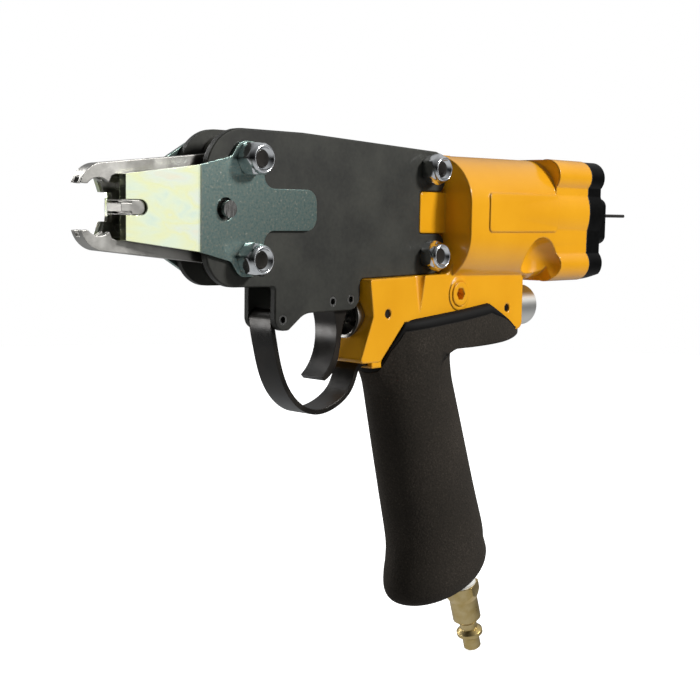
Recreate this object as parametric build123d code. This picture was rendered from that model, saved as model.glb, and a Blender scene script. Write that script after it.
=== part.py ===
from build123d import *
import os
from math import cos, radians, sin

# Pneumatic hog ring tool, in millimetres.
# X runs from the jaws to the rear cap, Y to the right of the tool, Z up.
# Shapes are drawn from the middle between the two jaw pivots; the exported
# origin is the centre of the hand grip.
GRIP_CENTRE = (109, 0, -100)

# Jaw pivots, side plates and their hardware
PIVOT_Z = 17.64
REAR_BOLT_X = 102.0
PLATE_IN = 5.95
PLATE_T = 2.6
PLATE_OUT = PLATE_IN + PLATE_T
SHEET_T = 1.5
NOSE_OUT = PLATE_OUT + SHEET_T
BOLT_R = 3.15
NUT_AF = 11.1
NUT_H = 7.85
HEAD_H = 4.1
SLEEVE_R = 4.9
PIN_R = 1.9
GUARD_PIN = (18.3, -40.2)
TAB_X = 81.0
STOP_PIN = (44.9, -34.5)
TRIGGER_PIN = (55.0, -34.0)

# Nose plates: bend line, inward slope, end of the left lip
BEND_X = -22.8
SLOPE = 4.35 / 27.5
LIP_X = -50.3
LIP_END_Y = -3.2
NOSE_PIN_X = -11.2

# Jaws, rollers and wedge
JAW_Y = 2.75
GROOVE_Y = 1.15
HUB_R = 8.6
HUB_Y = 5.85
ROLLER = (36.0, 11.0)
ROLLER_R = 6.0
ROLLER_Y = 3.0
STROKE = 27.0
WEDGE_TAN = 0.1333
WEDGE_Z = 4.826
ROD_R = 5.5

# Barrel, piston and cap
BARREL_X0 = 112.5
BARREL_X1 = 201.0
BARREL_Z = -2.6
BULGE_R = 23.1
BULGE_Z = 0.8
BORE_R = 19.0
BORE_X0 = 126.0
PISTON_X = 184.0
PISTON_L = 15.0
LOBE_X = 175.0
LOBE_Y = 16.0
LOBE_Z = 19.8
LOBE_R = 7.6
CAP_L = 12.0
TAIL_ROD_R = 0.8
TAIL_ROD_X = 269.3

# Valve across the top of the handle
VALVE_Z = -41.5
VALVE_R = 7.5
PLUG_X = 163.5
BLOCK_Y = 13.0
VALVE_PIN_R = 1.85
BOSS = (117.5, -33.8)

# Handle and air plug
RAKE = 18.0
CORE_Y = 10.5
# Height, centre, half length, half width and slope of the ovals of the grip
GRIP_OVALS = [
    (-64, 97.6, 23.0, 16.4, 0), (-74, 101.2, 22.4, 16.4, 0), (-93, 106.8, 23.4, 16.9, 0),
    (-117.5, 114.1, 24.7, 17.4, 0), (-137.5, 120.2, 25.4, 17.9, 0.08), (-145, 121.3, 25.7, 18, 0.14),
    (-150.4, 121.8, 26.6, 18.4, 0.22), (-154.8, 122.4, 26.9, 18.5, 0.28), (-158.3, 123.2, 25.7, 17.7, 0.3),
    (-161.1, 124.2, 22.6, 15.8, 0.31), (-163.1, 125.2, 17.6, 12.4, 0.31),
]
PLUG_TOP = (141.0, -169.0)
THREAD_R = 6.4
HEX_T = -2.9
NOSE_R = 3.95


def outline(*corners):
    """Closed side-view outline from (x, z, corner radius) triples."""
    points = [(x, z) for x, z, _ in corners]
    radii = [r for _, _, r in corners]
    return make_face(FilletPolyline(*points, radius=radii, close=True))


def slab(face, y0, y1):
    """Side-view outline made into a slab from y0 to y1."""
    return extrude(Plane.XZ.offset(-y0) * face, amount=y0 - y1)


def rod_x(r, x0, x1, y=0, z=0):
    return Pos((x0 + x1) / 2, y, z) * Cylinder(r, x1 - x0, rotation=(0, 90, 0))


def rod_y(r, y0, y1, x, z):
    return Pos(x, (y0 + y1) / 2, z) * Cylinder(r, y1 - y0, rotation=(90, 0, 0))


def block(x0, x1, y0, y1, z0, z1):
    return Pos((x0 + x1) / 2, (y0 + y1) / 2, (z0 + z1) / 2) * Box(x1 - x0, y1 - y0, z1 - z0)


def hex_y(across, y0, y1, x, z):
    face = RegularPolygon(across / 2, 6, major_radius=False)
    return Pos(x, 0, z) * slab(face, y0, y1)


def hex_x(across, x0, x1, y=0, z=0):
    face = RegularPolygon(across / 2, 6, major_radius=False)
    return Pos(x0, y, z) * extrude(Plane.YZ * face, amount=x1 - x0)


def coil(mean_r, wire_r, length, turns):
    """Helical spring along Z from 0 to length, with round wire."""
    height = length - 2 * wire_r
    path = Pos(0, 0, wire_r) * Helix(height / turns, height, mean_r)
    wire = Plane(origin=path @ 0, z_dir=path % 0) * Circle(wire_r)
    return sweep(wire, path=path)


def mirrored_z(shape):
    return mirror(shape, about=Plane.XY)


def mirrored_y(shape):
    return mirror(shape, about=Plane.XZ)


def save(name, *shapes):
    shift = Pos(*[-c for c in GRIP_CENTRE])
    solids = []
    for shape in shapes:
        solids.extend((shift * shape).solids())
    export_step(Compound(children=solids) if len(solids) > 1 else solids[0], "parts/" + name + ".step")


os.makedirs("parts", exist_ok=True)

# Bolt axes: two jaw pivots, two rear bolts
pivots = [(0, PIVOT_Z), (0, -PIVOT_Z)]
rear_bolts = [(REAR_BOLT_X, PIVOT_Z), (REAR_BOLT_X, -PIVOT_Z)]

# Side plates
plate_face = outline(
    (-19.0, 28.3, 17), (28, 28.4, 0), (112, 24.8, 7), (112, 8.7, 4), (95.8, 8.7, 1.5),
    (95.8, -8.7, 1.5), (112, -8.7, 4), (112, -25.1, 7), (60.5, -26.2, 1.5),
    (60.5, -38.3, 6), (30, -38.3, 10), (21.5, -44.3, 3), (14.4, -44.3, 4.5),
    (14.4, -27.9, 1.5), (-19.0, -27.3, 13.5),
)
right_plate = slab(plate_face, PLATE_IN, PLATE_OUT)
for x, z in pivots + rear_bolts:
    right_plate -= rod_y(BOLT_R, 0, 20, x, z)
for x, z in (GUARD_PIN, STOP_PIN, TRIGGER_PIN):
    right_plate -= rod_y(PIN_R, 0, 20, x, z)
right_plate -= rod_y(3, 0, 20, NOSE_PIN_X, 0)
right_plate = chamfer(right_plate.faces().sort_by(Axis.Y)[-1].outer_wire().edges(), 0.4)
save("right_side_plate", right_plate)
save("left_side_plate", mirrored_y(right_plate))


# Nose plates: one sheet each, bent inward in front of the side plates
def nose_sheet(*ends):
    mid = PLATE_OUT + SHEET_T / 2
    line = Polyline((36, -mid), (BEND_X, -mid), *ends)
    return extrude(trace(line, SHEET_T), amount=30, both=True)


def nose_face(*ear):
    """Plate outline: the given front and ear points, mirrored, and the tab."""
    half = [*ear, (7.6, 7.5, 5), (34, 7.5, 5)]
    return outline(*half, *[(x, -z, r) for x, z, r in reversed(half)])


left_ear = [(-53, 10.6, 1.5), (BEND_X, 14.8, 0), (-8.6, 18.3, 2.5), (-4.6, 23.8, 5), (5.8, 23.8, 5.5)]
right_ear = [(-60, 10.4, 1.5), (-30, 13.4, 4), (-21, 18.6, 4), (-6.4, 26.9, 6), (7.2, 24.2, 6)]


lip_y = -(PLATE_OUT + SHEET_T / 2) - SLOPE * (LIP_X - BEND_X)
left_nose = nose_sheet((LIP_X, lip_y), (LIP_X - 0.7, LIP_END_Y)) & slab(nose_face(*left_ear), -20, 0)
left_nose -= block(-60, -45.5, -20, 0, -2.65, 2.65)
left_nose -= rod_y(2.65, -20, 0, -45.5, 0)
left_nose -= rod_y(4, -20, 0, NOSE_PIN_X, 0)
for x, z in pivots:
    left_nose -= rod_y(BOLT_R, -20, 0, x, z)
save("left_nose_plate", left_nose)

front_x = -57.6
front_y = -(PLATE_OUT + SHEET_T / 2) - SLOPE * (front_x - BEND_X)
right_nose = mirrored_y(nose_sheet((front_x, front_y))) & slab(nose_face(*right_ear), 0, 20)


def mouth(back):
    """Stepped opening between the jaws, moved back by the given length."""
    half = [(-75, 12, 0), (-57.3, 12, 0), (-54.2, 4.8, 0), (-51.3, 4.8, 0), (-51, 3.2, 0)]
    half = [(x + back, z, r) for x, z, r in half]
    return slab(outline(*half, *[(x, -z, r) for x, z, r in reversed(half)]), 0, 20)


right_nose -= mouth(0)
right_nose -= rod_y(4, 0, 20, NOSE_PIN_X, 0)
rivets = [(-47.5, 7), (-47.5, -7)]
for x, z in pivots:
    right_nose -= rod_y(BOLT_R, 0, 20, x, z)
for x, z in rivets:
    right_nose -= rod_y(1.2, 0, 20, x, z)
save("right_nose_plate", right_nose)

# Ring guide: C-shaped step on the inside of the right nose plate
guide_face = outline((-56, 10, 1), (-44, 10, 2), (-44, -10, 2), (-56, -10, 1))
ring_guide = slab(guide_face, 3.1, 8) - mouth(1)
inner_y = PLATE_OUT + SHEET_T / 2 * (1 - (1 + SLOPE ** 2) ** 0.5)
sheet_line = Polyline(
    (BEND_X, inner_y), (-60, inner_y + SLOPE * (-60 - BEND_X)), (-60, 30), (BEND_X, 30), close=True,
)
ring_guide -= extrude(make_face(sheet_line), amount=20, both=True)
for x, z in rivets:
    ring_guide -= rod_y(1.2, 0, 20, x, z)
save("ring_guide", ring_guide)
save("guide_rivets", *[rod_y(1.2, 3.1, 6.6, x, z) for x, z in rivets])

# Ring anvil: head in the slot of the left nose plate, thin spine behind it
anvil = block(-52.8, -45.6, -5.9, 1.9, -2.4, 2.4)
anvil += block(-45.6, -45.5, -5.9, -3.1, -2.4, 2.4) + rod_y(2.4, -5.9, -3.1, -45.5, 0)
anvil += block(-45.6, -5, -5.2, -3.1, -2.4, 2.4)
anvil += rod_y(5.5, -5.2, -3.1, NOSE_PIN_X, 0)
for z in (-1.75, 1.75):
    anvil -= block(-54, -48.5, -7, 3, z - 0.35, z + 0.35)
anvil -= rod_y(3, -20, 20, NOSE_PIN_X, 0)
save("ring_anvil", anvil)
save("nose_pin", rod_y(3, -NOSE_OUT - 2.4, PLATE_OUT + 0.9, NOSE_PIN_X, 0))


# Bolts, lock nuts and pins
def bolt(x, z, seat):
    """Bolt through everything between the faces at y = seat and y = -seat."""
    shank = rod_y(BOLT_R, -seat - NUT_H + 1.6, seat, x, z)
    head = hex_y(NUT_AF, seat, seat + HEAD_H, x, z) & rod_y(6.2, 0, 30, x, z)
    return shank + head


def lock_nut(x, z, seat):
    nut = hex_y(NUT_AF, -seat - 5.6, -seat, x, z) & rod_y(6.2, -seat - 6, -seat, x, z)
    collar = Pos(x, -seat - 6.6, z) * Cone(5.4, 4.7, 2.5, rotation=(90, 0, 0))
    return nut + collar - rod_y(BOLT_R, -seat - 10, -seat, x, z)


save("pivot_bolts", *[bolt(x, z, NOSE_OUT) for x, z in pivots])
save("rear_bolts", *[bolt(x, z, PLATE_OUT) for x, z in rear_bolts])
save("pivot_nuts", *[lock_nut(x, z, NOSE_OUT) for x, z in pivots])
save("rear_nuts", *[lock_nut(x, z, PLATE_OUT) for x, z in rear_bolts])
sleeve = rod_y(SLEEVE_R, -PLATE_IN, PLATE_IN, 0, 0) - rod_y(BOLT_R, -20, 20, 0, 0)
save("pivot_sleeves", *[Pos(x, 0, z) * sleeve for x, z in pivots])


def roll_pin(x, z):
    return rod_y(PIN_R, -PLATE_OUT, PLATE_OUT, x, z) - rod_y(PIN_R - 0.7, -20, 20, x, z)


save("guard_pin", roll_pin(*GUARD_PIN))
save("stop_pin", roll_pin(*STOP_PIN))
save("trigger_pin", roll_pin(*TRIGGER_PIN))

# Upper jaw: hooked front arm, hub, forked rear arm with a roller
jaw_edge = Polyline((-63.8, 7.4), (-66.4, 7.6)) + ThreePointArc((-66.4, 7.6), (-63.6, 11.9), (-57.4, 14.35))
jaw_edge += Polyline((-57.4, 14.35), (0, 20.4), (0, 11), (-52.4, 10.8), (-54.2, 10.2), (-55.3, 8.0))
jaw_edge += ThreePointArc((-55.3, 8.0), (-59.9, 9.4), (-63.8, 7.4))
upper_jaw = slab(make_face(jaw_edge), -JAW_Y, JAW_Y)
upper_jaw -= rod_y(8.1, -GROOVE_Y, GROOVE_Y, -59.6, 3.9)
hub = Pos(0, PIVOT_Z) * Circle(HUB_R)
eye = Pos(*ROLLER) * Circle(7.8)
upper_jaw += slab(make_hull(hub.edges() + eye.edges()), -HUB_Y, HUB_Y)
upper_jaw -= block(22, 50, -ROLLER_Y - 0.15, ROLLER_Y + 0.15, -10, 40)
upper_jaw -= rod_y(SLEEVE_R + 0.05, -20, 20, 0, PIVOT_Z)
upper_jaw -= rod_y(2.5, -20, 20, *ROLLER)
upper_roller = rod_y(ROLLER_R, -ROLLER_Y, ROLLER_Y, *ROLLER) - rod_y(2.55, -20, 20, *ROLLER)
upper_roller_pin = rod_y(2.5, -HUB_Y, HUB_Y, *ROLLER)
for name, shape in (("jaw", upper_jaw), ("roller", upper_roller), ("roller_pin", upper_roller_pin)):
    save("upper_" + name, shape)
    save("lower_" + name, mirrored_z(shape))

# Spring that opens the jaws
spring_half = 10.75
save("jaw_spring", Pos(-26, 0.4, -spring_half) * coil(2.2, 0.45, 2 * spring_half, 7))

# Wedge driver on the end of the piston rod
thin = WEDGE_Z - 12 * WEDGE_TAN
thick = WEDGE_Z + 30 * WEDGE_TAN
wedge_face = outline(
    (24, thin, 1), (66, thick, 4), (84.5, thick, 0), (84.5, -thick, 0), (66, -thick, 4), (24, -thin, 1),
)
wedge = slab(wedge_face, -2.8, 2.8) + block(73, 84.5, -5.7, 5.7, -8.8, 8.8)
wedge -= rod_x(4, 75, 90) + rod_y(2, -20, 20, 79, 0)
save("wedge_driver", wedge)
save("driver_pin", rod_y(2, -5.7, 5.7, 79, 0))

# Piston and rod
piston_end = PISTON_X + PISTON_L
piston_rod = rod_x(4, 75, 84.5) + rod_x(ROD_R, 84.5, PISTON_X) + rod_x(4, PISTON_X, piston_end + 7)
piston_rod -= rod_y(2, -20, 20, 79, 0) + rod_x(TAIL_ROD_R, piston_end - 4, piston_end + 8)
save("piston_rod", piston_rod)
piston = rod_x(BORE_R - 0.05, PISTON_X, piston_end) - rod_x(4, PISTON_X - 1, piston_end + 1)
piston -= rod_x(30, PISTON_X + 5.5, PISTON_X + 9.5) - rod_x(15.5, PISTON_X + 5.5, PISTON_X + 9.5)
save("piston", piston)
seal_x = PISTON_X + 5.5
save("piston_seal", rod_x(BORE_R - 0.02, seal_x, seal_x + 4) - rod_x(15.5, seal_x - 1, seal_x + 5))
piston_nut = hex_x(13, piston_end, piston_end + 5) - rod_x(4, piston_end - 1, piston_end + 6)
save("piston_nut", piston_nut)
save("tail_rod", rod_x(TAIL_ROD_R, piston_end - 4, TAIL_ROD_X))
spring_length = PISTON_X - BORE_X0
save("return_spring", Pos(BORE_X0, 0, 0) * (Rot(0, 90, 0) * coil(10.5, 1.4, spring_length, 7)))
bumper_end = PISTON_X - STROKE - 0.5
save("bumper", rod_x(BORE_R, BORE_X0, bumper_end) - rod_x(14.5, BORE_X0 - 1, bumper_end + 1))


# Body casting: tongue, barrel, screw lobes, valve block, handle core
def barrel_section(x, half_y, half_z, corner):
    return Plane.YZ.offset(x) * (Pos(0, BARREL_Z) * RectangleRounded(2 * half_y, 2 * half_z, corner))


def barrel(extra):
    """Barrel shell with the cylinder wall that bulges from its sides."""
    front = barrel_section(BARREL_X0, 22.4 + extra, 26.6 + extra, 20.5)
    shell = loft([front, barrel_section(BARREL_X1, 21.7 + extra, 27.2 + extra, 17.5)])
    wall = Cone(22 + extra, BULGE_R + extra, BARREL_X1 - 125, rotation=(0, 90, 0))
    return shell + Pos((125 + BARREL_X1) / 2, 0, BULGE_Z) * wall


def flange(x0, length, shrink, edge):
    """Lobed end of the barrel, with its rear edges chamfered."""
    faces = [Pos(0, BARREL_Z) * RectangleRounded(43.4 - 2 * shrink, 54.4 - 2 * shrink, 9)]
    faces += [Pos(0, BULGE_Z) * Circle(BULGE_R - shrink)]
    faces += [Pos(y, z) * Circle(LOBE_R - shrink) for y, z in lobes]
    discs = [extrude(Plane.YZ.offset(x0) * face, amount=length) for face in faces]
    if edge:
        discs = [chamfer(disc.faces().sort_by(Axis.X)[-1].edges(), edge) for disc in discs]
    return discs[0].fuse(*discs[1:])


def oval_column(shrink, *top):
    """Raked oval column of the grip, made smaller all round by shrink."""
    sections = []
    for z, x, half_x, half_y, tilt in [*top, *GRIP_OVALS]:
        plane = Plane(origin=(x, 0, z), x_dir=(1, 0, tilt), z_dir=(-tilt, 0, 1))
        stretch = (1 + tilt ** 2) ** 0.5
        sections.append(plane * Ellipse((half_x - shrink) * stretch, half_y - shrink))
    return loft(sections)


lobes = [(y, BARREL_Z + z) for y in (-LOBE_Y, LOBE_Y) for z in (-LOBE_Z, LOBE_Z)]
casting = barrel(0)
panel = fillet(block(125, 176, -40, 40, -7.6, 8.7).edges().filter_by(Axis.Y), 2)
casting += barrel(0.5) & panel
casting += flange(LOBE_X, BARREL_X1 - LOBE_X, 0, 0)
for y in (-26, 26):
    casting -= Pos(165.3, y, BARREL_Z - 19.6) * Sphere(12.8)
tongue_face = outline((86, 24.0, 3), (118, 24.0, 0), (118, -27, 0), (86, -27, 3))
casting += slab(tongue_face, -PLATE_IN + 0.05, PLATE_IN - 0.05)
casting += fillet(block(96.2, 118, -8.3, 8.3, -8.4, 8.4).edges().filter_by(Axis.Y), 1.2)
block_face = outline(
    (61.3, -26.35, 0.8), (63.4, -41, 0), (56.5, -57.6, 0.8), (57.4, -59, 0.8), (67.8, -59.2, 0),
    (82.3, -44, 0), (97, -44, 0), (97, -54, 0), (150, -54, 0), (PLUG_X, -50, 3), (PLUG_X, -26.3, 3),
    (BARREL_X0, -25.25, 0),
)
valve_block = slab(block_face, -BLOCK_Y, BLOCK_Y)
neck_face = outline(
    (BARREL_X0, -12, 0), (BARREL_X0, -44, 0), (150, -44, 3), (PLUG_X - 0.5, -30, 6), (158, -12, 0),
)
valve_block += slab(neck_face, -BLOCK_Y, BLOCK_Y)
corner_face = outline(
    (119, -15, 0), (BARREL_X0, -15, 0), (BARREL_X0, -25.55, 6), (104, -25.55, 0),
    (104, -30, 0), (119, -30, 0),
)
for y in (-BLOCK_Y, BLOCK_Y):
    valve_block += slab(corner_face, *sorted((y, y * 0.69)))
    valve_block -= Pos(91.5, y * 1.03, -33.9) * Cone(0.2, 3.3, 17)
core_face = outline(
    (80, -50, 0), (128, -50, 0), (117, -66, 8), (144.5, -148, 6), (146, -153.8, 3), (106, -166.2, 6),
    (87, -66, 8),
)
core = slab(core_face, -CORE_Y, CORE_Y) & oval_column(2.4, (-44, 97.6, 23.8, 16.4, 0))
throat = Pos(0, 0, -63) * extrude(Pos(97.6, 0) * Ellipse(21.4, 13.5), amount=20)
hook_lug = block(68.3, 74, -8, 8, -62.2, -55)
casting += valve_block + core + throat + hook_lug
casting += rod_y(6.9, -BLOCK_Y - 0.4, BLOCK_Y + 0.4, *BOSS) + rod_y(5.2, 0, BLOCK_Y + 0.9, *BOSS)

piston_bore = rod_x(BORE_R, BORE_X0, BARREL_X1 + 1)
casting -= piston_bore + rod_x(ROD_R + 0.3, 80, BORE_X0 + 1)
casting -= rod_x(7.5, 99, 113) + rod_x(8, 120.5, 124)
casting -= rod_x(VALVE_R, 50, 180, 0, VALVE_Z) + rod_x(8.45, 50, 64.6, 0, VALVE_Z)
for x, z in rear_bolts:
    casting -= rod_y(BOLT_R, -20, 20, x, z)
for y, z in lobes:
    casting -= rod_x(2.5, 184, 210, y, z)
along = Vector(sin(radians(RAKE)), 0, -cos(radians(RAKE)))
plug_plane = Plane(origin=(PLUG_TOP[0], 0, PLUG_TOP[1]), x_dir=(0, 1, 0), z_dir=along)


def plug_rod(r, t0, t1):
    """Round length on the air plug axis, t measured outward from the handle."""
    return plug_plane * (Pos(0, 0, (t0 + t1) / 2) * Cylinder(r, t1 - t0))


casting -= plug_rod(4.5, -133, 20) + plug_rod(THREAD_R, -22, 20)
pin_axes = [(72, -40.2), (151.9, -41.2)]
casting -= rod_y(VALVE_PIN_R, -20, -4, *pin_axes[0]) + rod_y(VALVE_PIN_R, -20, 20, *pin_axes[1])
casting -= rod_y(5.2, -20, -8, *BOSS)
casting -= block(60, TAB_X, -5.8, 5.8, -61.2, -59.2)
save("body_casting", casting)

# Hexagon socket plug in the side of the valve block
socket_plug = rod_y(5.2, -BLOCK_Y - 0.9, -8, *BOSS) - hex_y(4.7, -17, -10.5, *BOSS)
save("socket_plug", socket_plug)

# Rod bush and seals
save("rod_bush", rod_x(7.5, 99, 113) - rod_x(ROD_R + 0.05, 98, 114))
save("rod_seal", rod_x(8, 120.5, 124) - rod_x(ROD_R + 0.05, 120, 125))


# Rear cap with its gasket, screws and boss
cap_x = BARREL_X1 + 0.8
gasket = flange(BARREL_X1, 0.8, 0.2, 0) - rod_x(BORE_R, 200, 203)
cap = flange(cap_x, CAP_L, 0.3, 1.2)
boss = block(cap_x + 4, 229, -15, 15, -13.6, 8.2)
boss = fillet(boss.edges().filter_by(Axis.X), 4)
cap += fillet(boss.faces().sort_by(Axis.X)[-1].edges(), 1.5)
cap -= slab(outline((203.5, -33, 0), (215, -33, 0), (215, -26.6, 0), (203.5, -29.7, 0)), -30, 30)
cap -= rod_x(13, 190, cap_x + 8) + rod_x(TAIL_ROD_R + 0.1, 200, 235) + rod_x(2.6, 226, 230)
for y, z in lobes:
    gasket -= rod_x(2.5, 190, 220, y, z)
    cap -= rod_x(2.5, 190, 220, y, z) + rod_x(4.3, cap_x + 7, 220, y, z)
save("cap_gasket", gasket)
save("rear_cap", cap)


def cap_screw(y, z):
    x1 = cap_x + 7
    screw = rod_x(2.5, 185, x1, y, z) + rod_x(4.2, x1, x1 + 4.6, y, z)
    return screw - hex_x(4, x1 + 2, x1 + 7, y, z)


save("cap_screws", *[cap_screw(y, z) for y, z in lobes])
save("tail_rod_seal", rod_x(2.6, 226, 229) - rod_x(TAIL_ROD_R + 0.05, 225, 230))

# Trigger valve
spool_x1 = 130.0
sleeve = rod_x(VALVE_R, 64.6, 135, 0, VALVE_Z) + rod_x(8.4, 59.8, 64.6, 0, VALVE_Z)
sleeve -= rod_x(4.5, 59, 136, 0, VALVE_Z) + rod_x(7.2, 59, 67, 0, VALVE_Z)
sleeve -= rod_y(VALVE_PIN_R, -20, -4, *pin_axes[0]) + plug_rod(4.5, -140, -120)
save("valve_sleeve", sleeve)
plug_end = rod_x(9.3, PLUG_X, 181, 0, VALVE_Z)
plug_end = chamfer(plug_end.edges().group_by(Axis.X)[-1], 0.8)
valve_plug = plug_end + rod_x(VALVE_R, 146, PLUG_X, 0, VALVE_Z)
valve_plug -= rod_y(VALVE_PIN_R, -20, 20, *pin_axes[1])
valve_plug -= rod_x(9, 157, 160, 0, VALVE_Z) - rod_x(6, 157, 160, 0, VALVE_Z)
save("valve_plug", valve_plug)
save("plug_seal", rod_x(VALVE_R, 157, 160, 0, VALVE_Z) - rod_x(6, 156, 161, 0, VALVE_Z))
front_pin = rod_y(VALVE_PIN_R, -BLOCK_Y + 0.6, -4.6, *pin_axes[0])
save("valve_pins", front_pin, rod_y(VALVE_PIN_R, -BLOCK_Y + 0.6, BLOCK_Y - 0.6, *pin_axes[1]))
spool = rod_x(2.6, 57, 70, 0, VALVE_Z) + rod_x(2.2, 70, spool_x1, 0, VALVE_Z)
lands = [(76, 84), (108, 116), (spool_x1 - 6, spool_x1)]
spool_seals = []
for x0, x1 in lands:
    mid = (x0 + x1) / 2
    spool += rod_x(4.4, x0, x1, 0, VALVE_Z)
    ring = rod_x(4.45, mid - 1, mid + 1, 0, VALVE_Z) - rod_x(3.3, mid - 2, mid + 2, 0, VALVE_Z)
    spool -= rod_x(9, mid - 1, mid + 1, 0, VALVE_Z) - rod_x(3.3, mid - 1, mid + 1, 0, VALVE_Z)
    spool_seals.append(ring)
save("valve_spool", spool)
save("spool_seals", *spool_seals)
save("valve_spring", Pos(spool_x1, 0, VALVE_Z) * (Rot(0, 90, 0) * coil(3.5, 0.5, 146 - spool_x1, 8)))

# Trigger: curved strap blade, hub on the pin, heel under the stop pin
front = Spline((48.2, -38.5), (50.1, -47.5), (48.6, -55.3), (42.2, -63.7))
rear = Spline((43.8, -65.2), (51.4, -56.2), (52.9, -47.5), (54.6, -41.5), (59, -34))
blade = front + Line((42.2, -63.7), (43.8, -65.2)) + rear + Polyline((59, -34), (51, -34), (48.2, -38.5))
trigger = slab(make_face(blade), -5.8, 5.8) + rod_y(4, -5.8, 5.8, *TRIGGER_PIN)
trigger += block(43.4, 52, -4, 4, -38.7, -36.6) + block(51, 56.6, -2.8, 2.8, -44, -39)
trigger -= rod_y(PIN_R + 0.05, -20, 20, *TRIGGER_PIN)
save("trigger", trigger)

# Trigger guard: strap with an eye on its pin and a tab that hooks into the handle
gx, gz = GUARD_PIN
strap = Spline(
    (gx - 2.6, gz), (17.0, -48.5), (23.8, -67.0), (38.5, -76.9), (55.0, -72.7), (61.6, -63.4),
    tangents=[(0, -1), (0.35, 1)],
)
strap_end = strap @ 1
hook = strap + TangentArc(strap_end, (65.2, -60.2), tangent=strap % 1) + Line((65.2, -60.2), (TAB_X, -60.2))
guard = Plane.XZ * trace(hook, 2)
guard = extrude(guard, amount=5.8, both=True)
guard += rod_y(3.6, -5.8, 5.8, gx, gz)
guard -= rod_y(PIN_R, -20, 20, gx, gz) + block(60, 90, -6, 6, -59.2, -50)
save("trigger_guard", guard)

# Grip sleeve: raked oval column with a rim around the valve block and a tail
rim_face = outline(
    (73, -61.5, 0), (76.5, -59.4, 1), (82.6, -44, 3), (137.4, -38.4, 5), (150, -45.4, 6), (158, -49.2, 4),
    (175.6, -49.6, 2), (178, -52.4, 2), (173.5, -55.6, 3), (160, -57, 8), (133, -58, 6), (124, -67, 4),
    (77, -70, 0), (73, -65, 0),
)
plan_ends = (Pos(98.2, 0) * Ellipse(23.2, 16.7)).edges() + (Pos(157, 0) * Circle(14.6)).edges()
plan = Pos(0, 0, -80) * extrude(make_hull(plan_ends), amount=50)
grip = oval_column(0) + (slab(rim_face, -20, 20) & plan)
grip -= casting + block(60, TAB_X, -5.85, 5.85, -61.25, -59)
grip -= rod_x(9.5, 50, 190, 0, VALVE_Z)
grip -= plug_rod(THREAD_R + 0.9, -140, 30)
save("grip_sleeve", max(grip.solids(), key=lambda solid: solid.volume))

# Air plug: pipe thread, hexagon with a long chamfer, body, neck, locking collar and nose
def plug_cone(r0, r1, t0, t1):
    return plug_plane * (Pos(0, 0, (t0 + t1) / 2) * Cone(r0, r1, t1 - t0))


hexagon = RegularPolygon(7.15, 6, major_radius=False, rotation=14.5)
hexagon = plug_plane * (Pos(0, 0, HEX_T) * extrude(hexagon, amount=4.6 - HEX_T))
plug = hexagon & (plug_rod(8.2, HEX_T, 1) + plug_cone(8.2, 6.4, 1, 4.6))
plug += plug_rod(THREAD_R, -22, HEX_T) + plug_rod(6.4, HEX_T, 15) + plug_cone(6.4, 4.0, 15, 17.2)
plug += plug_rod(4.0, 17, 20.4) + plug_cone(4.2, 5.95, 20.2, 21.8) + plug_rod(5.95, 21.8, 23.4)
plug += plug_cone(5.95, NOSE_R, 23.4, 25) + plug_rod(NOSE_R, 25, 31)
plug = chamfer(plug.edges().sort_by(Axis.Z)[0], 0.8)
plug -= plug_rod(2.6, -30, 40)
save("air_plug", plug)
save("thread_tape", plug_rod(THREAD_R + 0.6, -11, HEX_T) - plug_rod(THREAD_R, -12, 0))
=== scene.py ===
# %% [markdown]
# # A pneumatic hog ring tool
# The solids of the tool come from CAD and are loaded as a fixed frame. This lesson gives every
# surface its finish, makes the soft and fine pieces that CAD leaves plain, and sets up the light
# and the camera. Blender's unit is the metre here, and the origin is in the middle of the hand grip.

import bmesh
import bpy
import numpy as np
from mathutils import Matrix, Vector


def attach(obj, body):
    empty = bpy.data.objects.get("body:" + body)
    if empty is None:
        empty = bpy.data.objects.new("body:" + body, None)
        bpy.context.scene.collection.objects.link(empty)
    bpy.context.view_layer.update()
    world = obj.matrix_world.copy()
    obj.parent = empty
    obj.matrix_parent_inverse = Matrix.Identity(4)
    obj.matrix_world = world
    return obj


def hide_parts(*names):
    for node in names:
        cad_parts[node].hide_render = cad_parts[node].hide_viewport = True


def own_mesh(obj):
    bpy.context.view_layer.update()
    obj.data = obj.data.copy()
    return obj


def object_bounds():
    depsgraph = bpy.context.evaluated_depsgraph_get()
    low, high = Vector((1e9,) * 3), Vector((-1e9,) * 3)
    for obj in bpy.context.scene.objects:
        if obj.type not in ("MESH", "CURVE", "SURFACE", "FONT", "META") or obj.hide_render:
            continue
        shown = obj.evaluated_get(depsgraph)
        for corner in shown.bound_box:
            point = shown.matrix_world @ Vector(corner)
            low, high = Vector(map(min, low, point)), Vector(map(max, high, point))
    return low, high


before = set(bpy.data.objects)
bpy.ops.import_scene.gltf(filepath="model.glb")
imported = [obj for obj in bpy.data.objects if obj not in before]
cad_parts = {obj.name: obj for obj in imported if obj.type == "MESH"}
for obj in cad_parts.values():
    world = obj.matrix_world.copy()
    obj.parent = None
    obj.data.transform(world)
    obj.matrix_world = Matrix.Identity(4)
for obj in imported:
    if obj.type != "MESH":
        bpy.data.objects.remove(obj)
cad_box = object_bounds()
scene = bpy.context.scene
print(len(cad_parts), "CAD nodes loaded")

# %% [markdown]
# Drawings of the tool are read from a point between the two jaw pivots, in millimetres: X to the
# rear, Y to the right, Z up. One small function moves such points into the frame.

# %% Drawing coordinates
MM_PER_METRE = 1000
PIVOT_POINT = np.array([-0.109, 0.0, 0.1])


def from_drawing(points):
    """Points in millimetres from the pivots, as metres from the frame's origin."""
    return np.asarray(points, float) / MM_PER_METRE + PIVOT_POINT


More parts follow.
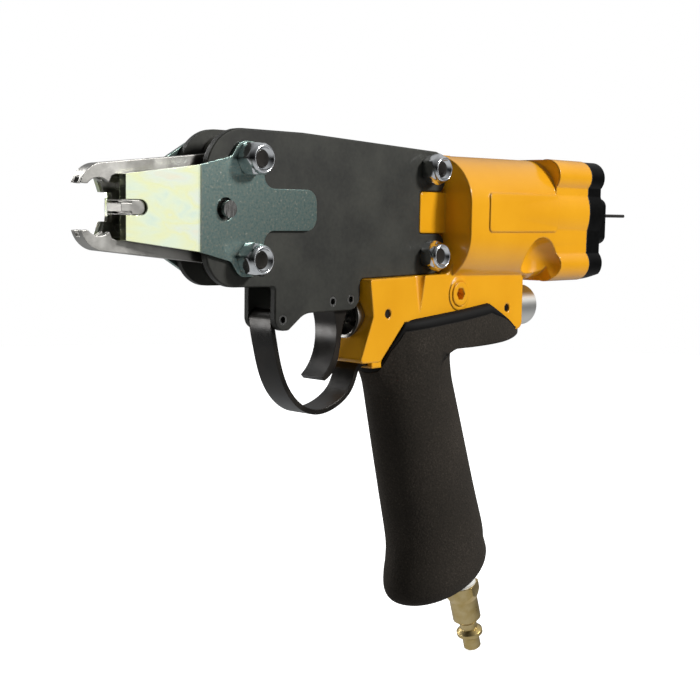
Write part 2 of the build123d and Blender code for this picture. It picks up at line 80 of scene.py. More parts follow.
# %% [markdown]
# Colours are written as sRGB hex, the way a colour picker shows them, but shaders work with linear
# light, so one function converts them. A second one adds a shader node, sets its options and
# sockets, and links any socket that is given another node's output. Noise scales come from the size
# of a spot on the real surface. Nearly all values of a noise lie in one span, which is mapped to the
# span of a roughness, and a Bevel node rounds the look of an edge with a few rays.

# %% Colour and node helpers
EDGE_RAYS = {"samples": 6}
NOISE_SPAN = {"From_Min": 0.3, "From_Max": 0.7}


def linear(hex_colour):
    """sRGB hex to linear RGBA: the standard curve, below and above its straight toe."""
    srgb = np.array([int(hex_colour[i:i + 2], 16) for i in (1, 3, 5)]) / 255
    rgb = np.where(srgb <= 0.04045, srgb / 12.92, ((srgb + 0.055) / 1.055) ** 2.4)
    return (*map(float, rgb), 1.0)


def add(tree, kind, options=None, **sockets):
    """A node with its options and sockets set. Base_Color is the socket "Base Color", and a number such
    as _6 picks a socket by its place, where several have the same name."""
    node = tree.nodes.new("ShaderNode" + kind)
    for key, value in (options or {}).items():
        setattr(node, key, value)
    for key, value in sockets.items():
        socket = node.inputs[int(key[1:]) if key[1:].isdigit() else key.replace("_", " ")]
        if isinstance(value, bpy.types.NodeSocket):
            tree.links.new(value, socket)
        else:
            socket.default_value = value
    return node


def start(name):
    """A new material with an empty tree and its object coordinates."""
    material = bpy.data.materials.new(name)
    material.use_nodes = True
    material.node_tree.nodes.clear()
    return material, material.node_tree, add(material.node_tree, "TexCoord").outputs["Object"]


def paint_ramp(ramp_node, *stops):
    """Set a colour ramp to (place, hex colour) stops."""
    ramp = ramp_node.color_ramp
    while len(ramp.elements) < len(stops):
        ramp.elements.new(0.5)
    for element, (place, colour) in zip(ramp.elements, stops):
        element.position = place
        element.color = linear(colour)


def per_mm(size):
    """Noise scale whose spots are about this many millimetres wide: spots in a metre."""
    return MM_PER_METRE / size


def dress(material, *nodes):
    """Give the solids of these CAD nodes the material."""
    for name in nodes:
        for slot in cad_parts[name].material_slots:
            slot.material = material
    print(material.name, "on", len(nodes), "CAD nodes")


# %% [markdown]
# ## Yellow enamel
# The body is an aluminium casting under a thick baked enamel. Up close such paint isn't one colour:
# it is a little lighter where it ran thin, and its skin has the faint dimples of orange peel. It also
# fills the corners of the casting, so every edge is rounded by a millimetre and more. The plug with
# the hexagon socket was painted together with the body.

# %% Enamel
enamel, tree, place = start("baked_enamel_yellow")
cloud = add(tree, "TexNoise", Vector=place, Scale=per_mm(30), Detail=3.0)
tone = add(tree, "ValToRGB", Fac=cloud.outputs["Fac"])
paint_ramp(tone, (0.3, "#E19C14"), (0.7, "#EBA71C"))
peel = add(tree, "TexNoise", Vector=place, Scale=per_mm(1.6), Detail=1.0)
edges = add(tree, "Bevel", EDGE_RAYS, Radius=0.0014)
skin_bump = add(tree, "Bump", Strength=0.05, Distance=0.0002, Height=peel.outputs["Fac"],
                Normal=edges.outputs["Normal"])
shader = add(tree, "BsdfPrincipled", Base_Color=tone.outputs["Color"], Roughness=0.19, IOR=1.5,
             Specular_IOR_Level=0.5, Normal=skin_bump.outputs["Normal"])
add(tree, "OutputMaterial", Surface=shader.outputs["BSDF"])
dress(enamel, "body_casting", "socket_plug")

# %% [markdown]
# ## Blackened steel plates
# The side plates are hot-rolled sheet with a thin black conversion coat. The coat lets the grain of
# the sheet through: clouds about two centimetres wide and a finer mottle. Their edges are broken just
# enough to catch the light.

# %% Blackened sheet
blackened, tree, place = start("blackened_rolled_sheet")
cloud = add(tree, "TexNoise", Vector=place, Scale=per_mm(22), Detail=4.0, Roughness=0.6)
mottle = add(tree, "TexNoise", Vector=place, Scale=per_mm(1.5), Detail=2.0)
both = add(tree, "Math", {"operation": "MULTIPLY_ADD"}, _0=mottle.outputs["Fac"], _1=0.25,
           _2=cloud.outputs["Fac"])
tone = add(tree, "ValToRGB", Fac=both.outputs["Value"])
paint_ramp(tone, (0.4, "#22221F"), (0.85, "#393933"))
sheen = add(tree, "MapRange", Value=both.outputs["Value"], To_Min=0.42, To_Max=0.58)
edges = add(tree, "Bevel", EDGE_RAYS, Radius=0.0004)
grain = add(tree, "Bump", Strength=0.12, Distance=0.0001, Height=mottle.outputs["Fac"],
            Normal=edges.outputs["Normal"])
shader = add(tree, "BsdfPrincipled", Base_Color=tone.outputs["Color"], Metallic=0.2,
             Specular_IOR_Level=0.3, Roughness=sheen.outputs["Result"], Normal=grain.outputs["Normal"])
add(tree, "OutputMaterial", Surface=shader.outputs["BSDF"])
dress(blackened, "left_side_plate", "right_side_plate")

# %% [markdown]
# ## Yellow zinc
# The nose plates are zinc plated and dipped in a yellow passivate, a film so thin that it shows
# interference colours: straw, with drifts of pink and pale blue, in streaks that run the way the dip
# drained. Behind the bend the plate is grey-green with pale flecks: partly the colour of the film there,
# and partly painted shade, because the flat plate mirrors less of the studio than the bent front. The
# sheet mirrors the studio softly, and fine specks from handling break the mirror.

# %% Passivated zinc
zinc, tree, place = start("yellow_passivated_zinc")
DRAIN_ANGLE = np.radians(28)
drained = add(tree, "Mapping", Vector=place, Scale=(per_mm(26), per_mm(10), per_mm(10)),
              Rotation=(0, DRAIN_ANGLE, 0))
drift = add(tree, "TexNoise", Vector=drained.outputs["Vector"], Scale=1.0, Detail=3.0, Distortion=0.5)
straw = add(tree, "ValToRGB", Fac=drift.outputs["Fac"])
paint_ramp(straw, (0.26, "#BCD2CE"), (0.4, "#D2DCC4"), (0.5, "#D8DCB2"), (0.6, "#D2DACB"),
           (0.74, "#DDD0B6"))
grain = add(tree, "TexNoise", Vector=place, Scale=per_mm(1.0), Detail=3.0, Roughness=0.7)
# Grey-green for the flat plate behind the bend, darker partly as painted shade for its dimmer
# reflection; the pale flecks are grain.
shaded_slate = add(tree, "ValToRGB", Fac=grain.outputs["Fac"])
paint_ramp(shaded_slate, (0.34, "#6F8684"), (0.5, "#859A95"), (0.63, "#949C90"), (0.71, "#DDE2DD"))
BEND_X, HALF_BLEND = -22.8, 0.001
bend_x = from_drawing((BEND_X, 0, 0))[0]
# How far a point lies behind the bend: there the grey-green with painted shade replaces the straw, and
# the plate is rougher.
far_back = add(tree, "MapRange", Value=add(tree, "SeparateXYZ", Vector=place).outputs["X"],
               From_Min=bend_x - HALF_BLEND, From_Max=bend_x + HALF_BLEND)
tone = add(tree, "Mix", {"data_type": "RGBA"}, _0=far_back.outputs["Result"], _6=straw.outputs["Color"],
           _7=shaded_slate.outputs["Color"])
speck = add(tree, "TexNoise", Vector=place, Scale=per_mm(0.7), Detail=2.0)
sheen = add(tree, "MapRange", Value=far_back.outputs["Result"], To_Min=0.19, To_Max=0.3)
edges = add(tree, "Bevel", EDGE_RAYS, Radius=0.0003)
scratch = add(tree, "Bump", Strength=0.06, Distance=0.00005, Height=speck.outputs["Fac"],
              Normal=edges.outputs["Normal"])
shader = add(tree, "BsdfPrincipled", Base_Color=tone.outputs[2], Metallic=1.0,
             Roughness=sheen.outputs["Result"], Normal=scratch.outputs["Normal"])
add(tree, "OutputMaterial", Surface=shader.outputs["BSDF"])
dress(zinc, "left_nose_plate", "right_nose_plate")

# %% [markdown]
# ## Jaw steel
# Jaws, anvil, ring guide and its rivets, and the valve sleeve are hardened and tumbled: a grey metal
# with a soft, uneven shine, fine pits and slightly rounded edges.

# %% Tumbled tool steel
tumbled, tree, place = start("tumbled_tool_steel")
cloud = add(tree, "TexNoise", Vector=place, Scale=per_mm(6), Detail=4.0)
tone = add(tree, "ValToRGB", Fac=cloud.outputs["Fac"])
paint_ramp(tone, (0.3, "#94928D"), (0.7, "#AEACA7"))
grit = add(tree, "TexNoise", Vector=place, Scale=per_mm(0.6), Detail=2.0)
sheen = add(tree, "MapRange", Value=cloud.outputs["Fac"], **NOISE_SPAN, To_Min=0.3, To_Max=0.42)
edges = add(tree, "Bevel", EDGE_RAYS, Radius=0.0004)
pits = add(tree, "Bump", Strength=0.15, Distance=0.0001, Height=grit.outputs["Fac"],
           Normal=edges.outputs["Normal"])
shader = add(tree, "BsdfPrincipled", Base_Color=tone.outputs["Color"], Metallic=1.0,
             Roughness=sheen.outputs["Result"], Normal=pits.outputs["Normal"])
add(tree, "OutputMaterial", Surface=shader.outputs["BSDF"])
dress(tumbled, "upper_jaw", "lower_jaw", "ring_anvil", "ring_guide", "guide_rivets", "valve_sleeve")

# %% [markdown]
# ## Ground steel
# Pins, rollers, the rod, the wedge and the valve spool are ground round or flat, and the springs and
# roll pins have nearly the same shine. Grinding leaves lines across the piece, finer than the eye
# separates, so they are drawn a little coarser here and read as a streaked shine.

# %% Ground steel
ground, tree, place = start("ground_steel")
squeeze = add(tree, "Mapping", Vector=place, Scale=(per_mm(0.4), per_mm(6), per_mm(6)))
lines = add(tree, "TexNoise", Vector=squeeze.outputs["Vector"], Scale=1.0, Detail=2.0)
tone = add(tree, "ValToRGB", Fac=lines.outputs["Fac"])
paint_ramp(tone, (0.3, "#93928F"), (0.7, "#A9A8A5"))
sheen = add(tree, "MapRange", Value=lines.outputs["Fac"], **NOISE_SPAN, To_Min=0.18, To_Max=0.32)
shader = add(tree, "BsdfPrincipled", Base_Color=tone.outputs["Color"], Metallic=1.0,
             Roughness=sheen.outputs["Result"])
add(tree, "OutputMaterial", Surface=shader.outputs["BSDF"])
dress(ground, "nose_pin", "pivot_sleeves", "upper_roller", "lower_roller", "upper_roller_pin",
      "lower_roller_pin", "wedge_driver", "driver_pin", "piston_rod", "piston_nut", "valve_spool",
      "return_spring", "jaw_spring", "valve_spring", "guard_pin", "stop_pin", "trigger_pin")

# %% [markdown]
# ## Bright zinc
# The nuts and screws have a blue-white zinc plate, almost as bright as chrome but a little soft.

# %% Bright zinc
bright, tree, place = start("bright_zinc_plate")
cloud = add(tree, "TexNoise", Vector=place, Scale=per_mm(3), Detail=3.0)
tone = add(tree, "ValToRGB", Fac=cloud.outputs["Fac"])
paint_ramp(tone, (0.3, "#C9CBCD"), (0.7, "#E2E3E4"))
sheen = add(tree, "MapRange", Value=cloud.outputs["Fac"], **NOISE_SPAN, To_Min=0.1, To_Max=0.2)
edges = add(tree, "Bevel", EDGE_RAYS, Radius=0.0004)
shader = add(tree, "BsdfPrincipled", Base_Color=tone.outputs["Color"], Metallic=1.0,
             Roughness=sheen.outputs["Result"], Normal=edges.outputs["Normal"])
add(tree, "OutputMaterial", Surface=shader.outputs["BSDF"])
dress(bright, "pivot_nuts", "rear_nuts", "cap_screws")

# %% [markdown]
# ## Black oxide
# Guard, trigger, bolts and the pins of the valve are blackened by an oxide bath and oiled. It is a
# thin satin coat with a brown cast, duller in some patches than in others.

# %% Black oxide
oxide, tree, place = start("black_oxide")
cloud = add(tree, "TexNoise", Vector=place, Scale=per_mm(9), Detail=5.0)
tone = add(tree, "ValToRGB", Fac=cloud.outputs["Fac"])
paint_ramp(tone, (0.35, "#171410"), (0.7, "#28231D"))
sheen = add(tree, "MapRange", Value=cloud.outputs["Fac"], **NOISE_SPAN, To_Min=0.26, To_Max=0.4)
edges = add(tree, "Bevel", EDGE_RAYS, Radius=0.0005)
shader = add(tree, "BsdfPrincipled", Base_Color=tone.outputs["Color"], Metallic=0.4,
             Roughness=sheen.outputs["Result"], Normal=edges.outputs["Normal"])
add(tree, "OutputMaterial", Surface=shader.outputs["BSDF"])
dress(oxide, "trigger_guard", "trigger", "valve_pins", "pivot_bolts", "rear_bolts")

# %% [markdown]
# ## Gloss black cap
# The rear cap is cast like the body, but painted gloss black.

# %% Black enamel
black_enamel, tree, place = start("baked_enamel_black")
peel = add(tree, "TexNoise", Vector=place, Scale=per_mm(1.8), Detail=1.0)
tone = add(tree, "ValToRGB", Fac=peel.outputs["Fac"])
paint_ramp(tone, (0.3, "#080808"), (0.7, "#0D0D0D"))
edges = add(tree, "Bevel", EDGE_RAYS, Radius=0.0008)
skin_bump = add(tree, "Bump", Strength=0.06, Distance=0.0002, Height=peel.outputs["Fac"],
                Normal=edges.outputs["Normal"])
shader = add(tree, "BsdfPrincipled", Base_Color=tone.outputs["Color"], Roughness=0.34, IOR=1.5,
             Specular_IOR_Level=0.05, Normal=skin_bump.outputs["Normal"])
add(tree, "OutputMaterial", Surface=shader.outputs["BSDF"])
dress(black_enamel, "rear_cap")

# %% [markdown]
# ## Turned aluminium
# The valve plug and the piston are turned on a lathe. The cutter leaves fine rings round the axis, so
# rings about the axis of the valve, which can be seen, vary the shine.

# %% Turned aluminium
VALVE_Z = -41.5
turned, tree, place = start("turned_aluminium")
on_axis = add(tree, "Mapping", Vector=place, Location=tuple(-from_drawing((0, 0, VALVE_Z))))
rings = add(tree, "TexWave", {"wave_type": "RINGS", "rings_direction": "X"},
            Vector=on_axis.outputs["Vector"], Scale=per_mm(8), Distortion=0.6, Detail=1.0)
tone = add(tree, "ValToRGB", Fac=rings.outputs["Fac"])
paint_ramp(tone, (0.0, "#D2D1CC"), (1.0, "#E0DFDA"))
sheen = add(tree, "MapRange", Value=rings.outputs["Fac"], To_Min=0.32, To_Max=0.38)
edges = add(tree, "Bevel", EDGE_RAYS, Radius=0.0004)
shader = add(tree, "BsdfPrincipled", Base_Color=tone.outputs["Color"], Metallic=1.0,
             Roughness=sheen.outputs["Result"], Normal=edges.outputs["Normal"])
add(tree, "OutputMaterial", Surface=shader.outputs["BSDF"])
dress(turned, "valve_plug", "piston")

# %% [markdown]
# ## Brass
# The air plug has the dull straw colour of brass that has been handled; the rod bush is a porous
# bronze of nearly the same hue.

# %% Brass
brass, tree, place = start("handled_brass")
cloud = add(tree, "TexNoise", Vector=place, Scale=per_mm(5), Detail=4.0)
tone = add(tree, "ValToRGB", Fac=cloud.outputs["Fac"])
paint_ramp(tone, (0.3, "#BCA264"), (0.7, "#DAC593"))
sheen = add(tree, "MapRange", Value=cloud.outputs["Fac"], **NOISE_SPAN, To_Min=0.26, To_Max=0.4)
edges = add(tree, "Bevel", EDGE_RAYS, Radius=0.0004)
shader = add(tree, "BsdfPrincipled", Base_Color=tone.outputs["Color"], Metallic=1.0,
             Roughness=sheen.outputs["Result"], Normal=edges.outputs["Normal"])
add(tree, "OutputMaterial", Surface=shader.outputs["BSDF"])
dress(brass, "air_plug", "rod_bush")

# %% [markdown]
# ## Seal rubber and drawn wire
# Seals and the bumper are moulded nitrile, matt and almost black. The tail rod is drawn wire, dark
# with oil.

# %% Nitrile
nitrile, tree, place = start("moulded_nitrile")
bloom = add(tree, "TexNoise", Vector=place, Scale=per_mm(4), Detail=3.0)
tone = add(tree, "ValToRGB", Fac=bloom.outputs["Fac"])
paint_ramp(tone, (0.3, "#161514"), (0.7, "#22211F"))
shader = add(tree, "BsdfPrincipled", Base_Color=tone.outputs["Color"], Roughness=0.6, IOR=1.52)
add(tree, "OutputMaterial", Surface=shader.outputs["BSDF"])
dress(nitrile, "rod_seal", "bumper", "cap_gasket", "tail_rod_seal", "plug_seal", "piston_seal",
      "spool_seals")

# %% Drawn wire
wire, tree, place = start("oiled_drawn_wire")
draw = add(tree, "Mapping", Vector=place, Scale=(per_mm(12), per_mm(0.4), per_mm(0.4)))
lines = add(tree, "TexNoise", Vector=draw.outputs["Vector"], Scale=1.0, Detail=2.0)
tone = add(tree, "ValToRGB", Fac=lines.outputs["Fac"])
paint_ramp(tone, (0.3, "#33312F"), (0.7, "#4A4744"))
shader = add(tree, "BsdfPrincipled", Base_Color=tone.outputs["Color"], Metallic=0.8, Roughness=0.35)
add(tree, "OutputMaterial", Surface=shader.outputs["BSDF"])
dress(wire, "tail_rod")

# %% [markdown]
# ## Springs
# Three coil springs are squeezed by the pieces that they push back. In the tool each one shortens along
# its axis towards a point that stays in place: the seat of the return spring and of the valve spring,
# and the middle of the jaw spring, which both jaws squeeze. Here each spring only gets a mesh of its
# own, and its length before and after the squeeze is printed.

# %% Springs
def shorten(spring, length, travel):
    """Give the spring a mesh of its own, and print its length and what is left when the joint reaches
    its limit and it has lost the travel, both in millimetres. The mesh keeps its shape."""
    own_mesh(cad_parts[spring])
    print(spring, "shortens from", length, "to", length - travel, "mm")


shorten("return_spring", length=58, travel=27)
shorten("valve_spring", length=16, travel=1.4)
shorten("jaw_spring", length=21.5, travel=5.2)

# %% [markdown]
# ## Sealing tape
# The thread of the plug is wound with PTFE tape. It is white and a little waxy, and the winding
# leaves wrinkles that run round the thread, so the pattern is turned to the lean of the handle.

# %% PTFE tape
tape, tree, place = start("ptfe_tape")
HANDLE_LEAN = np.radians(18)
turned_back = add(tree, "Mapping", {"vector_type": "TEXTURE"}, Vector=place,
                  Rotation=(0, -HANDLE_LEAN, 0))
wound = add(tree, "Mapping", Vector=turned_back.outputs["Vector"],
            Scale=(per_mm(7), per_mm(7), per_mm(0.7)))
wrinkle = add(tree, "TexNoise", Vector=wound.outputs["Vector"], Scale=1.0, Detail=3.0, Distortion=0.8)
tone = add(tree, "ValToRGB", Fac=wrinkle.outputs["Fac"])
paint_ramp(tone, (0.35, "#C9C8C0"), (0.6, "#F1F0EB"))
folds = add(tree, "Bump", Strength=0.7, Distance=0.0004, Height=wrinkle.outputs["Fac"])
shader = add(tree, "BsdfPrincipled", Base_Color=tone.outputs["Color"], Roughness=0.45, IOR=1.35,
             Normal=folds.outputs["Normal"])
add(tree, "OutputMaterial", Surface=shader.outputs["BSDF"])
dress(tape, "thread_tape")

# %% [markdown]
# ## Surfaces from grids
# Every new piece is a grid of points: rows along the piece and columns round it. One function turns
# such a grid into a closed mesh, with a fan of triangles over each open end. Two more give smooth
# values: a curve through a few numbers, and a step that starts and ends softly.

# %% Skin a grid
MERGE_DISTANCE = 1e-6


def skin(name, tubes, material, body, stands_for, fan_ends=(0, -1), lip=None):
    """Tubes of points, shape (tubes, rows, columns, 3), joined by quads between neighbouring rows and
    columns. The end rows named in fan_ends are closed by a fan to their middle. Another end row has its
    points in pairs, which are merged. The lip, one value for each row, becomes an attribute."""
    count, rows, columns = tubes.shape[:3]
    grid = np.arange(count * rows * columns).reshape(count, rows, columns)
    after = np.roll(grid, -1, 2)
    corners = [grid[:, :-1], after[:, :-1], after[:, 1:], grid[:, 1:]]
    faces = np.stack(corners, -1).reshape(-1, 4).tolist()
    for fan, end in enumerate(fan_ends):
        middle = grid.size + fan * count + np.arange(count)[:, None]
        spokes = np.broadcast_arrays(middle, after[:, end], grid[:, end])
        faces += np.stack(spokes, -1).reshape(-1, 3).tolist()
    middles = [tubes[:, end].mean(1) for end in fan_ends]
    points = np.vstack([tubes.reshape(-1, 3), *middles])
    mesh = bpy.data.meshes.new(name)
    mesh.from_pydata(points.tolist(), [], faces)
    if lip is not None:
        part = mesh.attributes.new("lip", "FLOAT", "POINT")
        part.data.foreach_set("value", np.append(np.repeat(lip, columns), lip[list(fan_ends)]))
    shape = bmesh.new()
    shape.from_mesh(mesh)
    bmesh.ops.remove_doubles(shape, verts=shape.verts, dist=MERGE_DISTANCE)
    bmesh.ops.recalc_face_normals(shape, faces=shape.faces)
    shape.to_mesh(mesh)
    shape.free()
    mesh.polygons.foreach_set("use_smooth", np.ones(len(mesh.polygons), bool))
    mesh.materials.append(material)
    mesh.update()
    piece = bpy.data.objects.new(name, mesh)
    scene.collection.objects.link(piece)
    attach(piece, body)
    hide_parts(*stands_for)
    print(name, len(mesh.polygons), "faces")
    return piece


# %% Smooth values
def smooth_through(places, knots, values):
    """Smooth curve through (knot, value) pairs: a cubic between two knots, with the slope at each knot
    taken from its neighbours."""
    slope = np.gradient(values, knots)
    span = np.clip(np.searchsorted(knots, places) - 1, 0, len(knots) - 2)
    width = knots[span + 1] - knots[span]
    t = (places - knots[span]) / width
    start_part = (1 + 2 * t) * (1 - t) ** 2 * values[span] + t * (1 - t) ** 2 * width * slope[span]
    end_part = t * t * (3 - 2 * t) * values[span + 1] + t * t * (t - 1) * width * slope[span + 1]
    return start_part + end_part


def ease(value, start_at, end_at):
    """0 before start_at, 1 after end_at, and between them 3 t^2 - 2 t^3, with t the share of the way."""
    t = np.clip((value - start_at) / (end_at - start_at), 0, 1)
    return t * t * (3 - 2 * t)


# %% [markdown]
# ## Foam grip
# The grip is a sleeve of moulded rubber foam. Its foot and column are ovals that lean back; at the
# top it widens into a collar round the valve block, with a tail that rests on the hand. A loft of
# ovals could give the column but not the tail, so the column is such a loft, and above it every line
# of points follows its own smooth path: up along the leaning side, then out to the collar.

# %% Foam column
POINTS_ROUND, COLUMN_ROWS = 240, 90
around = np.linspace(0, 2 * np.pi, POINTS_ROUND, endpoint=False)
cosine, sine = np.cos(around), np.sin(around)
# Height, centre, half length, half width and tilt of the ovals, from the foot up
ovals = np.array([
    (-164.2, 126.0, 3.0, 2.0, 0.31), (-164.0, 125.8, 11.0, 8.0, 0.31),
    (-163.1, 125.2, 17.6, 12.4, 0.31), (-161.1, 124.2, 22.6, 15.8, 0.31),
    (-158.3, 122.9, 26.2, 17.7, 0.30), (-154.8, 121.9, 27.5, 18.5, 0.28),
    (-150.4, 121.3, 27.1, 18.4, 0.22), (-145.0, 121.1, 25.9, 18.0, 0.14),
    (-137.5, 120.2, 25.4, 17.9, 0.08), (-117.5, 114.1, 24.7, 17.4, 0.0),
    (-93.0, 106.8, 23.4, 16.9, 0.0), (-74.0, 101.2, 22.4, 16.4, 0.0),
])
knots = np.arange(len(ovals))
step = np.linspace(0, knots[-1], COLUMN_ROWS)
curves = [smooth_through(step, knots, measure)[:, None] for measure in ovals.T]
height, centre, half_long, half_wide, tilt = curves
along = half_long * cosine
column_rows = np.stack([centre + along, half_wide * sine, height + tilt * along], -1)
print("column", np.ptp(height).round(1), "mm high")

# %% [markdown]
# Seen from above, the collar is a superellipse: x is the reach times the cosine to the power 2 / n, and
# y the half width times the sine to the same power. An n of 2 gives an oval, and a larger one squarer
# corners. The front is nearly an oval, and the tail is longer and squarer. Seen from the side, the edge
# of the collar follows the yellow block.

# %% Collar
COLLAR_MIDDLE, COLLAR_HALF_WIDTH = 100, 16.6
FRONT_REACH, TAIL_REACH = 26.0, 67.0
FRONT_SQUARENESS, TAIL_SQUARENESS = 2.2, 4.0
in_front = cosine < 0
power = 2 / np.where(in_front, FRONT_SQUARENESS, TAIL_SQUARENESS)
reach = np.where(in_front, -FRONT_REACH, TAIL_REACH)
collar_x = COLLAR_MIDDLE + reach * np.abs(cosine) ** power
collar_y = COLLAR_HALF_WIDTH * np.sign(sine) * np.abs(sine) ** power
# Edge of the collar, seen from the side
edge_x = np.array([73.2, 75.2, 78.2, 82.6, 97.2, 117.1, 137.4, 149.4, 158.0, 168.0])
edge_z = np.array([-62.6, -60.8, -51.8, -43.5, -42.1, -40.5, -38.4, -44.6, -49.3, -50.0])
collar_z = np.interp(collar_x, edge_x, edge_z)
# Height of the lip: more beside the block than in front, and little along the tail
FRONT_LIP, SIDE_SWELL, TAIL_DROP = 3.4, 1.6, 3.6
SWELLS_OVER, DROPS_OVER = (76, 82), (134, 152)
lip_height = FRONT_LIP + SIDE_SWELL * ease(collar_x, *SWELLS_OVER)
lip_height -= TAIL_DROP * ease(collar_x, *DROPS_OVER)
print("collar", np.ptp(collar_x).round(1), "mm long")

# %% [markdown]
# The path of each line of points starts on the top oval, in its lean. Under the tail it runs up to a
# corner, out below the tail and up to the collar. In front and at the sides it rises straight. The two
# are blended by how far a line belongs to the tail.

# %% Paths from the column to the collar
def rounded_path(controls, steps):
    """Path that starts at the first control, is drawn towards the others and ends at the last. Between
    them a point is a blend of three neighbours, with the weights (1 - u)^2 / 2, (1 + 2u - 2u^2) / 2
    and u^2 / 2."""
    controls = np.concatenate([controls[:1], controls, controls[-1:]])
    u = np.linspace(0, 1, steps, endpoint=False)[:, None, None]
    blend = [(1 - u) ** 2 / 2 * a + (1 + 2 * u - 2 * u * u) / 2 * b + u * u / 2 * c
             for a, b, c in zip(controls, controls[1:], controls[2:])]
    return np.concatenate([*blend, controls[-1:]])


CORNER_Z, TAIL_RISE = -66.0, 9.4
TAIL_STARTS_OVER = (104, 118)
LEAST_EDGE = 0.5
top_oval = column_rows[-1]
lean = top_oval - column_rows[-2]
lean /= lean[:, 2:]
tail = ease(collar_x, *TAIL_STARTS_OVER)
under_z = CORNER_Z + TAIL_RISE * tail
corner = top_oval + lean * (under_z - top_oval[:, 2])[:, None]
lip_foot = collar_z - lip_height
collar = np.stack([collar_x, collar_y, lip_foot], -1)
out = np.stack([collar_x, collar_y, np.minimum(under_z, lip_foot - LEAST_EDGE)], -1)
towards = out - corner
# Controls in order: shares of the way to the corner, out under the tail, and up to the collar
under_tail = np.stack([
    top_oval, top_oval + 0.35 * (corner - top_oval), corner + 0.05 * towards, corner + 0.2 * towards,
    corner + 0.5 * towards, corner + 0.82 * towards, out + 0.45 * (collar - out), collar,
])
straight_up = top_oval + np.linspace(0, 1, len(under_tail))[:, None, None] * (collar - top_oval)
path = rounded_path(straight_up + tail[:, None] * (under_tail - straight_up), steps=7)[1:]
print(len(path), "rows from the column to the collar")

# %% [markdown]
# A rounded lip with a groove under it ends the foam, because the mould leaves a smooth skin there. Its
# section is the same all round: shares of the way in to the yellow block, and shares of the lip's
# height. Inside the lip the foam's top sinks out of sight, and stays under the round valve plug.

# %% Lip and top
FRONT_INNER, TAIL_INNER, SIDE_INNER = 0.93, 0.965, 0.82
inner_x = COLLAR_MIDDLE + (collar_x - COLLAR_MIDDLE) * np.where(in_front, FRONT_INNER, TAIL_INNER)
inner = np.stack([inner_x, collar_y * SIDE_INNER], -1)
way_in = np.array([0.0, 0.14, 0.16, 0.06, -0.02, 0.02, 0.2, 0.5, 0.85, 1.0])[:, None]
lip_rise = np.array([0.02, 0.06, 0.14, 0.2, 0.34, 0.6, 0.82, 0.95, 1.0, 0.96])[:, None]
outer = np.stack([collar_x, collar_y], -1)
lip_plan = outer + (inner - outer) * way_in[..., None]
lip_rows = np.dstack([lip_plan, lip_foot + lip_height * lip_rise])

PLUG_ROOM_R = 10.0
TAIL_END_X, SUNK, SUNK_AT_TAIL_END = 162, -6.0, -0.6
across = np.array([0.85, 0.6, 0.3, 0.0])[:, None]
cover_y = inner[:, 1] * across
cover_x = np.broadcast_to(inner_x, cover_y.shape)
under_plug = VALVE_Z - np.sqrt(np.maximum(PLUG_ROOM_R ** 2 - cover_y ** 2, 0))
sunk = np.where(cover_x < TAIL_END_X, SUNK, SUNK_AT_TAIL_END)
cover_rows = np.stack([cover_x, cover_y, np.minimum(collar_z + sunk, under_plug)], -1)

grip_rings = np.concatenate([column_rows, path, lip_rows, cover_rows])
print("grip rows", len(grip_rings))

# %% [markdown]
# The foam itself is matt and very dark brown. Its skin shows cells and crumbs about half a
# millimetre wide, drawn a little larger here so that they show, with a few paler specks. The lip is
# smoother, and near black: partly the smooth skin of the mould, partly painted shade for the shadow
# along the edge of the foam. An attribute on the points says how far a point belongs to the lip, and
# the material blends the two by it.

# %% Foam rubber
foam, tree, place = start("moulded_foam_rubber")
cells = add(tree, "TexVoronoi", {"feature": "SMOOTH_F1"}, Vector=place, Scale=per_mm(0.9))
crumbs = add(tree, "TexNoise", Vector=place, Scale=per_mm(0.7), Detail=3.0, Roughness=0.7)
cloud = add(tree, "TexNoise", Vector=place, Scale=per_mm(25), Detail=2.0)
mixed = add(tree, "Math", {"operation": "MULTIPLY_ADD"}, _0=cloud.outputs["Fac"], _1=0.35,
            _2=crumbs.outputs["Fac"])
tone = add(tree, "ValToRGB", Fac=mixed.outputs["Value"])
paint_ramp(tone, (0.45, "#211E19"), (0.75, "#2F2A24"), (0.95, "#443E37"))
is_lip = add(tree, "Attribute", {"attribute_name": "lip"})
# On the lip the foam turns near black: its smooth skin, darkened further as painted shade along the
# edge.
shade = add(tree, "Mix", {"data_type": "RGBA"}, _0=is_lip.outputs["Fac"], _6=tone.outputs["Color"],
            _7=linear("#070605"))
gloss = add(tree, "MapRange", Value=is_lip.outputs["Fac"], To_Min=0.9, To_Max=0.7)
depth = add(tree, "MapRange", Value=is_lip.outputs["Fac"], To_Min=0.5, To_Max=0.04)
both = add(tree, "Math", {"operation": "ADD"}, _0=cells.outputs["Distance"], _1=crumbs.outputs["Fac"])
pores = add(tree, "Bump", Strength=depth.outputs["Result"], Distance=0.0003,
            Height=both.outputs["Value"])
shader = add(tree, "BsdfPrincipled", Base_Color=shade.outputs[2], Roughness=gloss.outputs["Result"],
             IOR=1.5, Specular_IOR_Level=0.18, Normal=pores.outputs["Normal"])
add(tree, "OutputMaterial", Surface=shader.outputs["BSDF"])

# %% Foam grip piece
below_lip = np.zeros(len(column_rows) + len(path))
lip_share = np.concatenate([below_lip, ease(lip_rise[:, 0], 0.0, 0.15), np.zeros(len(cover_rows))])
grip = skin("foam_grip", from_drawing(grip_rings)[None], foam, "frame", ["grip_sleeve"],
            fan_ends=(0,), lip=lip_share)

# %% [markdown]
# ## Lock nuts
# A lock nut is a hexagon with a round collar that holds a nylon ring. Going up the nut, a limit on the
# radius shrinks: first to the chamfer that cuts the six corners, then to the rounded collar, then back
# down inside it. The hexagon's own radius is its half width over the cosine of the angle from a flat.

